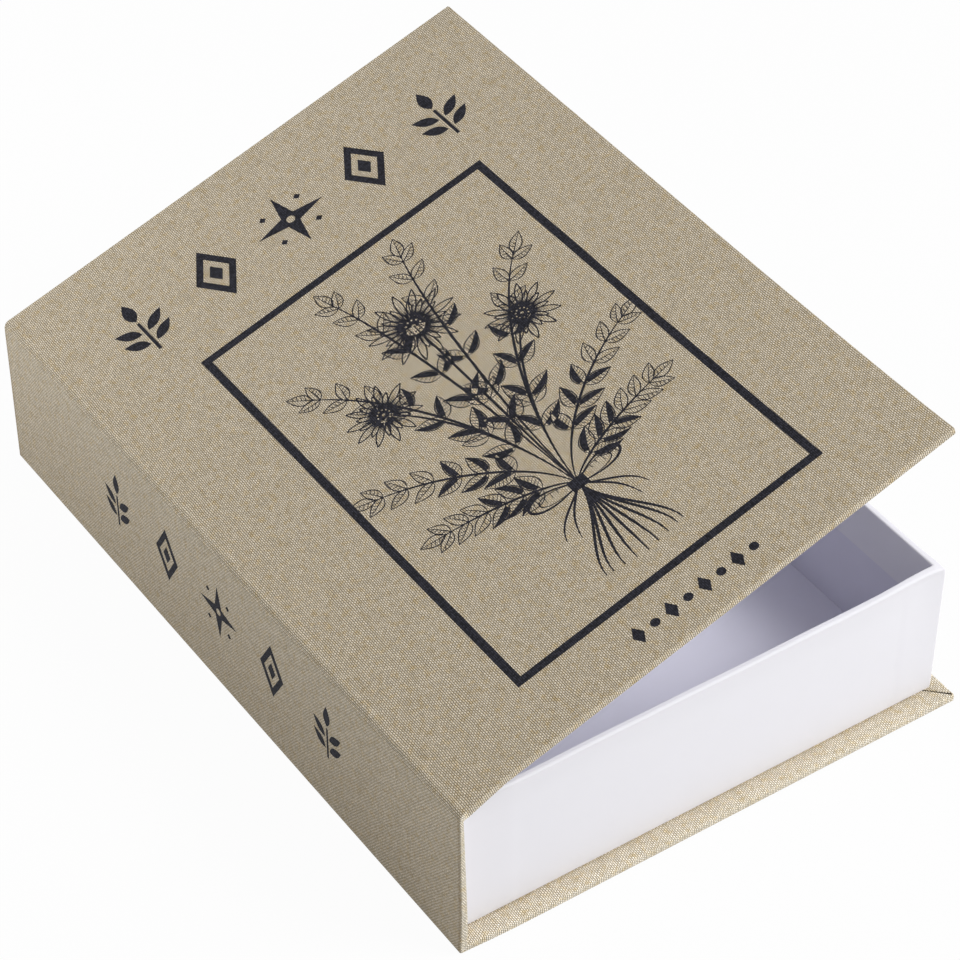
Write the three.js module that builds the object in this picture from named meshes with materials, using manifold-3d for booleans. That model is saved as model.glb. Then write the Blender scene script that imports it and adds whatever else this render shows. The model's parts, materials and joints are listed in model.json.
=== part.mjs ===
// A book-shaped storage box: three boards in one sheet of linen-look cloth make the case,
// and a paper-wrapped tray is glued to its spine and base. The lid stands ajar on its cloth hinge.
// Millimetres. X runs from the spine to the fore-edge, Y from tail to head, Z up.
// The origin is the middle of the base's underside.
import * as THREE from 'three';
import { mergeVertices } from 'three/addons/utils/BufferGeometryUtils.js';
import Module from 'manifold-3d';

const wasm = await Module();
wasm.setup();

// The case
const caseWidth = 180;
const caseLength = 260;
const coverBoard = 1.5;
const clothThick = 0.4;
const clothTurnIn = 15;
const glueLine = 0.2;

// The tray, and the ledges of the base that it leaves bare
const trayHeight = 49.9;
const ledgeEnd = 6.5;
const ledgeFore = 4.3;
const trayBoard = 1.5;
const floorCard = 1;
const paperThick = 0.2;
const rimRadius = 0.8;
const wrapTurnIn = 18;
const wrapUnder = 12;

// The lid, and how far it stops short of the base's edges when it is shut
const lidAngle = 18.1;
const lidShortFore = 0.7;
const lidShortTail = 1.7;
const lidShortHead = 0.3;
const lidClearance = 0.4;

// The cloth hinge
const spineBelowRim = 0.8;
const jointGap = 3.4;
const jointRadius = 2.6;
const jointSeam = 0.3;

// The tapes over the tray's corners
const stayThick = 0.1;
const stayLong = 20.5;
const stayShort = 14.5;
const stayInset = 2;

// The paper lining of the case
const liningMargin = 4;
const liningJoint = 6;

// Worked out from the sizes above
const coverThick = 2 * clothThick + 2 * glueLine + coverBoard;
const boardOffset = clothThick + glueLine;
const wallThick = 2 * paperThick + 2 * glueLine + trayBoard;
const trayBottom = coverThick + glueLine;
const rimTop = trayBottom + trayHeight;
const spineTop = rimTop - spineBelowRim;
const spineX = -caseWidth / 2;
const foreX = caseWidth / 2;
const tailY = -caseLength / 2;
const headY = caseLength / 2;
const trayLow = { x: spineX + coverThick + 2 * glueLine + paperThick, y: tailY + ledgeEnd };
const trayHigh = { x: foreX - ledgeFore, y: headY - ledgeEnd };
const boardBottom = trayBottom + paperThick + glueLine;
const boardTop = rimTop - paperThick - glueLine;
const floorTop = boardBottom + floorCard + glueLine + paperThick;
const lidTilt = THREE.MathUtils.degToRad(lidAngle);
const hingeX = spineX + clothThick / 2;
const hingeZ = rimTop + lidClearance;
const lidTop = coverThick + glueLine + paperThick;
const lidWidth = foreX - lidShortFore - hingeX;

const finish = (color, roughness) => new THREE.MeshStandardMaterial({ color, roughness, metalness: 0 });
const cloth = finish(0xb5a68a, 0.9);
const greyboard = finish(0x8f8b84, 0.95);
const wrapPaper = finish(0xe9e9ee, 0.55);
const liningPaper = finish(0xf2f0ea, 0.7);
const stayTape = finish(0xc9a878, 0.8);

function named(name, geometry, material) {
  const mesh = new THREE.Mesh(geometry, material.clone());
  mesh.name = name;
  return mesh;
}

// A flat piece between two corners, placed by its middle
function slab(name, low, high, material) {
  const size = high.map((value, i) => value - low[i]);
  const mesh = named(name, new THREE.BoxGeometry(...size), material);
  mesh.position.set(...high.map((value, i) => (value + low[i]) / 2));
  return mesh;
}

function toSolid(geometry) {
  const bare = geometry.clone();
  bare.deleteAttribute('normal');
  bare.deleteAttribute('uv');
  const merged = mergeVertices(bare);
  return new wasm.Manifold(new wasm.Mesh({
    numProp: 3,
    vertProperties: new Float32Array(merged.attributes.position.array),
    triVerts: new Uint32Array(merged.index.array),
  }));
}

function toGeometry(solid) {
  const mesh = solid.getMesh();
  const geometry = new THREE.BufferGeometry();
  geometry.setAttribute('position', new THREE.BufferAttribute(mesh.vertProperties, 3));
  geometry.setIndex(new THREE.BufferAttribute(mesh.triVerts, 1));
  geometry.computeVertexNormals();
  return geometry;
}

const join = (geometries) => toGeometry(geometries.map(toSolid).reduce((whole, part) => whole.add(part)));

// A box with its corners exactly where they are asked for, so that boxes in one solid share their faces
function boxBetween(low, high) {
  const geometry = new THREE.BoxGeometry(1, 1, 1);
  const position = geometry.attributes.position;
  for (let i = 0; i < position.count; i += 1) {
    const at = [position.getX(i), position.getY(i), position.getZ(i)];
    position.setXYZ(i, ...at.map((value, axis) => (value > 0 ? high[axis] : low[axis])));
  }
  return geometry;
}

// Cloth over one board: its outer face is z = 0, x runs from the joint, and y is centred.
// It turns over both ends, and over the far edge where the board has one.
function boardCloth(width, length, turnsOverFore) {
  const half = length / 2;
  const past = width + 1;
  const side = half - clothThick;
  const fore = turnsOverFore ? width - clothThick : past;
  const flapSide = half - clothTurnIn;
  const flapFore = turnsOverFore ? width - clothTurnIn : past;
  const whole = toSolid(boxBetween([0, -half, 0], [width, half, coverThick]));
  const boardRoom = toSolid(boxBetween([-1, -side, clothThick], [fore, side, coverThick - clothThick]));
  const window = toSolid(boxBetween([-1, -flapSide, clothThick], [flapFore, flapSide, coverThick + 1]));
  return toGeometry(whole.subtract(boardRoom).subtract(window));
}

// A closed ring with one section all round a rectangle: section points are [inset, z]
function rectangleRing(section, low, high) {
  const corners = [[low.x, low.y, 1, 1], [high.x, low.y, -1, 1], [high.x, high.y, -1, -1], [low.x, high.y, 1, -1]];
  const positions = [];
  for (const [x, y, inX, inY] of corners) {
    for (const [inset, z] of section) {
      positions.push(x + inX * inset, y + inY * inset, z);
    }
  }
  const count = section.length;
  const index = [];
  for (let corner = 0; corner < 4; corner += 1) {
    for (let i = 0; i < count; i += 1) {
      const a = corner * count + i;
      const b = corner * count + (i + 1) % count;
      const c = ((corner + 1) % 4) * count + (i + 1) % count;
      const d = ((corner + 1) % 4) * count + i;
      index.push(a, c, b, a, d, c);
    }
  }
  const geometry = new THREE.BufferGeometry();
  geometry.setAttribute('position', new THREE.Float32BufferAttribute(positions, 3));
  geometry.setIndex(index);
  geometry.computeVertexNormals();
  return geometry;
}

// Points of a quarter round from one angle to another, in degrees
function roundPoints(x, z, radius, from, to) {
  const steps = 6;
  const points = [];
  for (let i = 0; i <= steps; i += 1) {
    const angle = THREE.MathUtils.degToRad(from + (to - from) * i / steps);
    points.push([x + radius * Math.cos(angle), z + radius * Math.sin(angle)]);
  }
  return points;
}

// A band of one thickness that follows a line of points in X and Z, with half of it on each side
function ribbon(points, thick) {
  const left = [];
  const right = [];
  points.forEach((point, i) => {
    const before = points[Math.max(i - 1, 0)];
    const after = points[Math.min(i + 1, points.length - 1)];
    const arriving = new THREE.Vector2(point.x - before.x, point.z - before.z).normalize();
    const leaving = new THREE.Vector2(after.x - point.x, after.z - point.z).normalize();
    const sum = arriving.clone().add(leaving).normalize();
    const straight = Math.max(sum.dot(arriving), sum.dot(leaving));
    const reach = thick / 2 / straight;
    left.push(new THREE.Vector2(point.x - sum.y * reach, point.z + sum.x * reach));
    right.push(new THREE.Vector2(point.x + sum.y * reach, point.z - sum.x * reach));
  });
  return new THREE.Shape([...right, ...left.reverse()]);
}

// A section drawn in X and Z, drawn out along Y between two places
function alongY(shape, fromY, toY) {
  const settings = { depth: toY - fromY, bevelEnabled: false };
  return new THREE.ExtrudeGeometry(shape, settings).rotateX(Math.PI / 2).translate(0, toY, 0);
}

// A point given by its distance from the hinge along the lid, and its rise above the hinge in the lid's frame
function lidPoint(distance, rise) {
  const x = hingeX + distance * Math.cos(lidTilt) - rise * Math.sin(lidTilt);
  const z = hingeZ + distance * Math.sin(lidTilt) + rise * Math.cos(lidTilt);
  return { x, z };
}

// The bend from the spine to the lid's slope, at an inset from the cloth's outer face
function jointBend(inset) {
  const steps = 8;
  const radius = jointRadius - inset;
  const turn = Math.PI / 2 - lidTilt;
  const x = spineX + inset;
  const rise = lidTop - inset;
  const cornerZ = hingeZ + (rise + (x - hingeX) * Math.sin(lidTilt)) / Math.cos(lidTilt);
  const centreZ = cornerZ - radius * Math.tan(turn / 2);
  const points = [];
  for (let i = 0; i <= steps; i += 1) {
    const angle = Math.PI - turn * i / steps;
    points.push({ x: x + radius + radius * Math.cos(angle), z: centreZ + radius * Math.sin(angle) });
  }
  return points;
}

function makeBase() {
  const skin = named('base_cloth', boardCloth(caseWidth, caseLength, true), cloth);
  skin.position.set(spineX, 0, 0);
  const board = slab(
    'base_board',
    [spineX + coverThick + glueLine, tailY + boardOffset, boardOffset],
    [foreX - boardOffset, headY - boardOffset, boardOffset + coverBoard],
    greyboard,
  );
  return [skin, board];
}

function makeSpine() {
  const foot = coverThick + glueLine;
  const skin = named('spine_cloth', boardCloth(spineTop - foot, caseLength, false), cloth);
  skin.rotation.y = Math.PI / 2;
  skin.position.set(spineX, 0, spineTop);
  const board = slab(
    'spine_board',
    [spineX + boardOffset, tailY + boardOffset, foot],
    [spineX + boardOffset + coverBoard, headY - boardOffset, spineTop],
    greyboard,
  );
  const liningX = spineX + coverThick + glueLine;
  const lining = slab(
    'spine_lining',
    [liningX, tailY + liningMargin, trayBottom],
    [liningX + paperThick, headY - liningMargin, spineTop],
    liningPaper,
  );
  return [skin, board, lining];
}

// One layer of the hinge's cloth, from the spine's top to the lid's edge
function hingeLayer(inset) {
  const middle = inset + clothThick / 2;
  const start = { x: spineX + middle, z: spineTop };
  const end = lidPoint(jointGap - jointSeam, lidTop - middle);
  return ribbon([start, ...jointBend(middle), end], clothThick);
}

// The cloth between the spine and the lid, doubled at both ends where it is turned in
function makeHingeCloth() {
  const tail = tailY + lidShortTail;
  const head = headY - lidShortHead;
  const outer = hingeLayer(0);
  const inner = hingeLayer(clothThick);
  const parts = [
    alongY(outer, tail, head),
    alongY(inner, tail, tail + clothTurnIn),
    alongY(inner, head - clothTurnIn, head),
  ];
  return named('hinge_cloth', join(parts), cloth);
}

// The lining paper is pasted into the joint: over the spine board's top, round inside the cloth,
// and back over the lid board's edge
function makeHingeLining() {
  const inset = 2 * clothThick + glueLine + paperThick / 2;
  const x = spineX + coverThick + glueLine + paperThick / 2;
  const overSpine = spineTop + glueLine + paperThick / 2;
  const lidEdge = jointGap - jointSeam - paperThick / 2;
  const points = [
    { x, z: spineTop },
    { x, z: overSpine },
    { x: spineX + inset, z: overSpine },
    ...jointBend(inset),
    lidPoint(lidEdge, lidTop - inset),
    lidPoint(lidEdge, paperThick / 2),
    lidPoint(liningJoint - jointSeam, paperThick / 2),
  ];
  const band = alongY(ribbon(points, paperThick), tailY + liningMargin, headY - liningMargin);
  return named('hinge_lining', band, liningPaper);
}

// The lid's pieces in its own frame: the hinge axis is the origin and the lid lies flat along +X
function makeLid() {
  const lid = new THREE.Group();
  lid.position.set(hingeX, 0, hingeZ);
  lid.rotation.y = -lidTilt;
  const tail = tailY + lidShortTail;
  const head = headY - lidShortHead;
  const skin = named('lid_cloth', boardCloth(lidWidth - jointGap, head - tail, true), cloth);
  skin.rotation.x = Math.PI;
  skin.position.set(jointGap, (tail + head) / 2, lidTop);
  const board = slab(
    'lid_board',
    [jointGap, tail + boardOffset, lidTop - boardOffset - coverBoard],
    [lidWidth - boardOffset, head - boardOffset, lidTop - boardOffset],
    greyboard,
  );
  const lining = slab(
    'lid_lining',
    [liningJoint, tail + liningMargin, lidTop - coverThick - glueLine - paperThick],
    [lidWidth - liningMargin, head - liningMargin, lidTop - coverThick - glueLine],
    liningPaper,
  );
  lid.add(skin, board, lining);
  return lid;
}

function makeTrayBoards() {
  const skinGap = paperThick + glueLine;
  const low = { x: trayLow.x + skinGap, y: trayLow.y + skinGap };
  const high = { x: trayHigh.x - skinGap, y: trayHigh.y - skinGap };
  const inLow = { x: low.x + trayBoard + glueLine, y: low.y + trayBoard + glueLine };
  const inHigh = { x: high.x - trayBoard - glueLine, y: high.y - trayBoard - glueLine };
  return [
    slab('tray_floor_board', [inLow.x, inLow.y, boardBottom], [inHigh.x, inHigh.y, boardBottom + floorCard], greyboard),
    slab('tray_wall_spine', [low.x, low.y, boardBottom], [low.x + trayBoard, high.y, boardTop], greyboard),
    slab('tray_wall_fore', [high.x - trayBoard, low.y, boardBottom], [high.x, high.y, boardTop], greyboard),
    slab('tray_wall_tail', [inLow.x, low.y, boardBottom], [inHigh.x, low.y + trayBoard, boardTop], greyboard),
    slab('tray_wall_head', [inLow.x, high.y - trayBoard, boardBottom], [inHigh.x, high.y, boardTop], greyboard),
  ];
}

// An L of tape round each corner, with its long leg on the next wall as one goes round the tray
function makeCornerStays() {
  const gap = (glueLine - stayThick) / 2;
  const outside = -gap - stayThick;
  const shape = new THREE.Shape();
  shape.moveTo(outside, outside);
  shape.lineTo(stayLong, outside);
  shape.lineTo(stayLong, -gap);
  shape.lineTo(-gap, -gap);
  shape.lineTo(-gap, stayShort);
  shape.lineTo(outside, stayShort);
  const height = boardTop - boardBottom - 2 * stayInset;
  const skinGap = paperThick + glueLine;
  const corners = [
    ['spine_tail', trayLow.x + skinGap, trayLow.y + skinGap],
    ['fore_tail', trayHigh.x - skinGap, trayLow.y + skinGap],
    ['fore_head', trayHigh.x - skinGap, trayHigh.y - skinGap],
    ['spine_head', trayLow.x + skinGap, trayHigh.y - skinGap],
  ];
  return corners.map(([place, x, y], quarter) => {
    const geometry = new THREE.ExtrudeGeometry(shape, { depth: height, bevelEnabled: false });
    const stay = named(`corner_stay_${place}`, geometry, stayTape);
    stay.rotation.z = quarter * Math.PI / 2;
    stay.position.set(x, y, boardBottom + stayInset);
    return stay;
  });
}

// The wrap covers the tray's outside, turns under its floor and over its rim
function makeTrayWrap() {
  const inner = rimRadius - paperThick;
  const flapEnd = rimTop - wrapTurnIn;
  const section = [
    [wrapUnder, trayBottom],
    [0, trayBottom],
    ...roundPoints(rimRadius, rimTop - rimRadius, rimRadius, 180, 90),
    ...roundPoints(wallThick - rimRadius, rimTop - rimRadius, rimRadius, 90, 0),
    [wallThick, flapEnd],
    [wallThick - paperThick, flapEnd],
    ...roundPoints(wallThick - rimRadius, rimTop - rimRadius, inner, 0, 90),
    ...roundPoints(rimRadius, rimTop - rimRadius, inner, 90, 180),
    [paperThick, trayBottom + paperThick],
    [wrapUnder, trayBottom + paperThick],
  ];
  return named('tray_wrap', rectangleRing(section, trayLow, trayHigh), wrapPaper);
}

// The tray's own lining: a sheet on the floor and a band round the walls, up to the wrap's edge
function makeTrayLining() {
  const wallIn = wallThick - paperThick;
  const bottom = floorTop + glueLine;
  const top = rimTop - wrapTurnIn - glueLine;
  const section = [[wallIn, bottom], [wallIn, top], [wallThick, top], [wallThick, bottom]];
  const band = named('tray_wall_lining', rectangleRing(section, trayLow, trayHigh), liningPaper);
  const low = { x: trayLow.x + wallThick, y: trayLow.y + wallThick };
  const high = { x: trayHigh.x - wallThick, y: trayHigh.y - wallThick };
  const sheet = slab(
    'tray_floor_lining',
    [low.x, low.y, floorTop - paperThick],
    [high.x, high.y, floorTop],
    liningPaper,
  );
  return [band, sheet];
}

const box = new THREE.Group();
box.add(
  ...makeBase(),
  ...makeSpine(),
  makeHingeCloth(),
  makeHingeLining(),
  makeLid(),
  ...makeTrayBoards(),
  ...makeCornerStays(),
  makeTrayWrap(),
  ...makeTrayLining(),
);

export default box;
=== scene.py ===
"""A cloth-covered book box with its lid ajar, built as an add-on and run as a script.
Lengths are metres. X runs from the spine to the fore-edge, Y from tail to head, Z up."""

import json
import math
import random

import bmesh
import bpy
from bpy.props import FloatProperty, FloatVectorProperty, PointerProperty
from bpy.types import Operator, Panel, PropertyGroup
from mathutils import Matrix, Vector
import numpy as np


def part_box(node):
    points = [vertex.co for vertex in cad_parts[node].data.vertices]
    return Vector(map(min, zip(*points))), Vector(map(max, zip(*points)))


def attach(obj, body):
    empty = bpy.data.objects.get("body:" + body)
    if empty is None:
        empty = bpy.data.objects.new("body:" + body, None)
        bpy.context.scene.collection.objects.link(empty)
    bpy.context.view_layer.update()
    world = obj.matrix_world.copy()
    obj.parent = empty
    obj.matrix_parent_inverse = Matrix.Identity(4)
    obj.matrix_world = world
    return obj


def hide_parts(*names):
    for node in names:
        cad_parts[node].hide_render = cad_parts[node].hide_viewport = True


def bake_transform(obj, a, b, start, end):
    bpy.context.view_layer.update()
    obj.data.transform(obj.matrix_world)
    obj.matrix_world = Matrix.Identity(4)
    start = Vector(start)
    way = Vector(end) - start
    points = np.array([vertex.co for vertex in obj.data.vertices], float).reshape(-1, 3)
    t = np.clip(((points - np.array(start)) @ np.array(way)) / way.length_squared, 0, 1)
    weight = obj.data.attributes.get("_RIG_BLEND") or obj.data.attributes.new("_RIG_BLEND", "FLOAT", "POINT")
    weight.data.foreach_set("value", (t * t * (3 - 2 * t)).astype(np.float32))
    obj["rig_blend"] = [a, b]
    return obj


bl_info = {
    "name": "Book box",
    "version": (1, 0, 0),
    "blender": (4, 5, 0),
    "location": "3D View > Sidebar > Book Box",
    "description": "Builds a cloth-covered book box with a paper-wrapped tray",
    "category": "Object",
}

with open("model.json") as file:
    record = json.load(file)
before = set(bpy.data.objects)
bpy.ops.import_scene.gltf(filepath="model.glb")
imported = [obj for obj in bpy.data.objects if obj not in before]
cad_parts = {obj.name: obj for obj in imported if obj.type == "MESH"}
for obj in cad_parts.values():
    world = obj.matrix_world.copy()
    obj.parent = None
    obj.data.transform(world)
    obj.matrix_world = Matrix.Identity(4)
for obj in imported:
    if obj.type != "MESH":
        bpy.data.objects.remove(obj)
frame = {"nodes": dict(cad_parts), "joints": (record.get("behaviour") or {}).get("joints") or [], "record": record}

# Places that come from the frame
BASE_LOW, BASE_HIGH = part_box("base_cloth")
LID_LOW, LID_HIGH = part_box("lid_cloth")
TRAY_LOW, TRAY_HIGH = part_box("tray_wrap")
FLOOR_LOW, FLOOR_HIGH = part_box("tray_floor_lining")
SPINE_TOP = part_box("spine_cloth")[1].z
HINGE = Vector(frame["joints"][0]["pos_m"])
TILT = -math.radians(frame["joints"][0]["range_deg"][0])

MM = 0.001
SKIN_X = BASE_LOW.x - 0.12 * MM  # the outer face of the spine's cloth
GLUE = 0.2 * MM  # between two layers
BOARD = 1.5 * MM  # thickness of greyboard
MARGIN = 4 * MM  # how far a lining stays behind the cover's edge
GATHER = 20 * MM  # how far from a corner the cloth is drawn in
TUCK = 3.4 * MM  # length of the cloth tucked in over a board's open end
TUCK_DEEP = 0.6 * MM  # how far that cloth starts behind the outer face
FLAT_END = 1.6 * MM  # last line of the even grid before a sheet's end folds
TRAY_CORNER = 0.5 * MM  # radius of the tray's upright corners
FOOT_ROUND = 0.28 * MM  # radius of the wrap's fold at the tray's foot
TAPE_AFTER, TAPE_BEFORE = 20.9 * MM, 14.9 * MM  # reach of a corner's tape, past it and before it
FOLD = (-1.6, -1, -0.732, -0.423, 0, 0.423, 0.732, 1, 1.6)  # grid lines of a rounded fold, in radii
ROW = ("sprig", "lozenge", "star", "lozenge", "sprig")


def linear(code):
    """A colour's sRGB hex code as linear red, green, blue and alpha."""
    parts = [int(code[i:i + 2], 16) / 255 for i in (1, 3, 5)]
    return [p / 12.92 if p <= 0.04045 else ((p + 0.055) / 1.055) ** 2.4 for p in parts] + [1.0]


def length(name, description, default):
    """A length property that a user can change, in metres."""
    return FloatProperty(name=name, description=description, default=default,
                         unit="LENGTH", subtype="DISTANCE", precision=5)


def colour(name, description, code):
    """A colour property that a user can change."""
    return FloatVectorProperty(name=name, description=description, default=linear(code),
                               size=4, subtype="COLOR", min=0, max=1)


class BookBoxSizes(PropertyGroup):
    """Sizes of the cloth, the paper and the print, and how far each part is bent, pressed or worn"""

    cloth_thick: length("Cloth", "Thickness of the book cloth", 0.4 * MM)
    cover_thick: length("Cover", "Thickness of a board with its cloth on both sides", BASE_HIGH.z)
    cover_round: length("Cover edge", "Radius of the cloth's fold over a board's edge", 0.55 * MM)
    swell: length("Swell", "How far the folded cloth stands out past the case's ends", 0.42 * MM)
    turn_in: length("Turn-in", "Depth of the cloth that is folded in behind a board", 15 * MM)
    slit: length("Mitre slit", "Half the gap between two turn-ins where they meet", 0.26 * MM)
    joint_gap: length("Joint", "Distance from the hinge axis to the lid's board", 3.4 * MM)
    joint_round: length("Joint bend", "Radius of the cloth where it bends over from spine to lid", 2.6 * MM)
    spine_press: FloatProperty(name="Pressed ends", default=0.47, min=0, max=0.6,
                               description="Share of its thickness that the spine loses at its ends by the top")
    corner_wear: length("Corner wear", "How far the case's corner by the spine and the tail is worn in", 0.8 * MM)
    groove: length("Joint groove", "Depth of the crease where the cloth starts to bend over", 0.2 * MM)
    groove_wide: length("Groove width", "Width of the crease where the cloth starts to bend over", 1.2 * MM)
    groove_rise: length("Groove height", "Height of the crease above the spine's board", 2.5 * MM)
    foot_press: length("Pressed foot", "How deep the tray's foot presses the cloth beside it", 0.18 * MM)
    lid_reach: length("Lid reach", "Distance from the hinge axis to the lid's fore-edge", 179.1 * MM)
    lid_top: length("Lid top", "Rise of the lid's outer face above the hinge axis", 3.1 * MM)
    lid_curl: length("Lid curl", "Rise of the lid's corner by the tail and the fore-edge", 1.23 * MM)
    lid_skew: length("Lid skew", "How much further the lid reaches at the head than in its middle", 0.75 * MM)
    lid_ease: length("Lid ease", "How far the lid's tail edge widens towards the joint", 1.3 * MM)
    paper_thick: length("Paper", "Thickness of the tray's paper", 0.2 * MM)
    rim_round: length("Rim", "Radius of the paper's fold over the rim's outer edge", 0.95 * MM)
    rim_inner: length("Rim inside", "Radius of the paper's fold over the rim's inner edge", 0.6 * MM)
    rim_wave: length("Rim wave", "How far the tray's rim wanders up and down", 0.18 * MM)
    wall_bow: length("Wall bow", "How far the tail wall bows out at its rim", 0.65 * MM)
    wall_dip: length("Wall dip", "How far the tail wall's rim dips", 0.5 * MM)
    corner_lean: length("Corner lean", "How far the corner by the tail and the fore-edge leans out", 0.62 * MM)
    wall_thick: length("Tray wall", "Thickness of a tray wall with its paper", 2.3 * MM)
    wrap_turn: length("Wrap turn-in", "Depth of the wrap inside the tray", 18 * MM)
    stay_proud: length("Corner tape", "How far the tape under the wrap stands out", 0.14 * MM)
    thread_across: length("Thread spacing across", "Spacing of the threads along the spine", 0.62 * MM)
    thread_along: length("Thread spacing along", "Spacing of the threads across the spine", 0.51 * MM)
    ink_proud: length("Ink", "How far the ink stands proud of the cloth", 0.03 * MM)


class BookBoxColours(PropertyGroup):
    """Colours of the box's materials"""

    thread_light: colour("Light threads", "Threads that run along the spine", "#E9DDC9")
    thread_tan: colour("Tan threads", "Threads that run across the spine", "#C6B697")
    thread_gap: colour("Gaps", "Dark between the threads", "#3A2F1C")
    ink: colour("Ink", "Printing ink", "#26262D")
    wrap: colour("Wrap paper", "Coated white paper round the tray", "#ECEBF0")
    lining: colour("Lining paper", "Paper inside the tray and the lid", "#E3E2EE")
    board: colour("Greyboard", "Boards under the cloth and the paper", "#8F8B84")
    tape: colour("Tape", "Gummed tape over the tray's corners", "#C9A878")


# Materials

# Real sizes of the patterns
WANDER = 11.11 * MM  # over which the threads lean from side to side
PATCH = 2.381 * MM  # of the brown fibre that lies on top of the cloth
CLOUD = 11.11 * MM  # of the paper's cloudiness
TOOTH = 0.1538 * MM  # of the paper's tooth, coarser than its fibres of some 0.02 mm, so that it shows
PULP = 3.333 * MM  # of the greyboard's light and dark pulp
FLECK = 1.111 * MM  # between the greyboard's flecks
FIBRE_WIDE, FIBRE_LONG = 1.111 * MM, 11.11 * MM  # of the tape's fibres

BLEND = {"data_type": "RGBA"}
TIMES = {"data_type": "RGBA", "blend_type": "MULTIPLY"}


def node_adder(tree):
    """Empties a node tree, and returns the function that adds a node to it."""
    tree.nodes.clear()

    def add(kind, inputs=(), **settings):
        """Adds a node with its settings, its socket values and its links, and returns it."""
        node = tree.nodes.new("ShaderNode" + kind)
        for name, value in settings.items():
            setattr(node, name, value)
        for socket, value in inputs.items() if isinstance(inputs, dict) else enumerate(inputs):
            if isinstance(value, bpy.types.Node):
                value = value.outputs[0]
            if isinstance(value, bpy.types.NodeSocket):
                tree.links.new(value, node.inputs[socket])
            else:
                node.inputs[socket].default_value = value
        return node

    return add


def new_material(name):
    """An empty node material, and the function that adds its nodes."""
    material = bpy.data.materials.new(name)
    material.use_nodes = True
    return material, node_adder(material.node_tree)


def surfaced(add, shade, height, deep, strength, sockets):
    """Ends a material with its shader, and with a bump as deep in metres as the real relief."""
    bump = add("Bump", {"Height": height, "Distance": deep, "Strength": strength})
    add("OutputMaterial", [add("BsdfPrincipled", {"Base Color": shade, "Normal": bump, **sockets})])


def weave(add, sizes, flat=None):
    """Plain weave on the flat cloth's own coordinates. Gives these, and the sockets that say which thread is
    on top, how high it stands there, how light this crossing is, and the thick and thin lengths of both."""
    flat = flat or add("UVMap", uv_map="flat")
    leaning = {"Vector": flat, "Scale": 1 / WANDER, "Detail": 4, "Roughness": 0.6}
    wander = add("TexNoise", leaning, noise_dimensions="2D")
    spread = add("VectorMath", [wander.outputs["Color"], (1.4, 1.4, 0), (-0.7, -0.7, 0)], operation="MULTIPLY_ADD")
    threads = (1 / sizes.thread_across, 1 / sizes.thread_along, 0)
    counted = add("VectorMath", [flat, threads, spread], operation="MULTIPLY_ADD")
    cell = add("VectorMath", [counted], operation="FLOOR")
    place = add("SeparateXYZ", [counted])
    lobes = []
    for axis in ("X", "Y"):
        turn = add("Math", [place.outputs[axis], math.pi], operation="MULTIPLY")
        lobes.append(add("Math", [add("Math", [turn], operation="SINE")], operation="ABSOLUTE"))
    lifted = add("VectorMath", [counted, (0, 0, 0.5)], operation="ADD")
    checks = add("TexChecker", {"Vector": lifted, "Scale": 1}).outputs["Fac"]
    # the threads along the spine are tight and stay high, the ones across dip deep between them
    heights = []
    for across, along, power, dip in ((*lobes, 0.8, 0.4), (*lobes[::-1], 0.6, 1.0)):
        crowned = add("Math", [across, power], operation="POWER")
        arched = add("Math", [along, dip, 1 - dip], operation="MULTIPLY_ADD")
        heights.append(add("Math", [crowned, arched], operation="MULTIPLY"))
    height = add("Mix", {0: checks, 2: heights[1], 3: heights[0]}, data_type="FLOAT")
    crossing = add("TexWhiteNoise", {"Vector": cell}, noise_dimensions="2D")
    slubs = []
    for stretch in ((1, 0.06, 0), (0.06, 1, 0)):
        drawn = add("VectorMath", [cell, stretch], operation="MULTIPLY")
        slub = {"Vector": drawn, "Scale": 1, "Detail": 2, "Roughness": 0.6}
        slubs.append(add("TexNoise", slub, noise_dimensions="2D"))
    return flat, checks, height, crossing, slubs


def cloth_colour(add, woven, light, tan, gap):
    """The colour of the woven threads, from the pattern's sockets."""
    flat, checks, height, crossing, slubs = woven
    tones = []
    for shade, slub, far, reach in ((light, slubs[0], tan, 0.6), (tan, slubs[1], light, 0.5)):
        uneven = add("MapRange", {"Value": slub, "From Min": 0.45, "From Max": 0.75, "To Max": reach})
        toned = add("Mix", {0: uneven, 6: shade, 7: far}, **BLEND).outputs[2]
        spot = add("MapRange", {"Value": crossing, "To Min": 0.82, "To Max": 1.12})
        tones.append(add("Mix", {0: 1.0, 6: toned, 7: spot}, **TIMES).outputs[2])
    thread = add("Mix", {0: checks, 6: tones[1], 7: tones[0]}, **BLEND).outputs[2]
    # the low places between the threads take the dark gap colour: partly the cloth's own dark gaps, partly painted
    # shade in these recesses
    shown = add("MapRange", {"Value": height, "From Min": 0.10, "From Max": 0.70})
    sunk = add("Mix", {0: shown, 6: gap, 7: thread}, **BLEND).outputs[2]
    # small patches where more of the brown fibre lies on top
    brown = {"Vector": flat, "Scale": 1 / PATCH, "Detail": 3, "Roughness": 0.6}
    cloud = add("TexNoise", brown, noise_dimensions="2D")
    patch = add("MapRange", {"Value": cloud, "From Min": 0.5, "From Max": 0.78, "To Max": 0.6})
    heathered = add("Mix", {0: patch, 6: sunk, 7: linear("#F1DDA6")}, **TIMES).outputs[2]
    # painted light: the folded edges are painted paler as a painted highlight and the crease beside them darker as
    # painted shade; the same attribute carries the spine's painted light gradient and the painted shade at the
    # tray's foot
    turned = add("Attribute", attribute_name="turned").outputs["Fac"]
    shift = add("VectorMath", [turned, (0.49, 0.57, 0.70), (1, 1, 1)], operation="MULTIPLY_ADD")
    return add("Mix", {0: 1.0, 6: heathered, 7: shift}, **TIMES).outputs[2]


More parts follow.
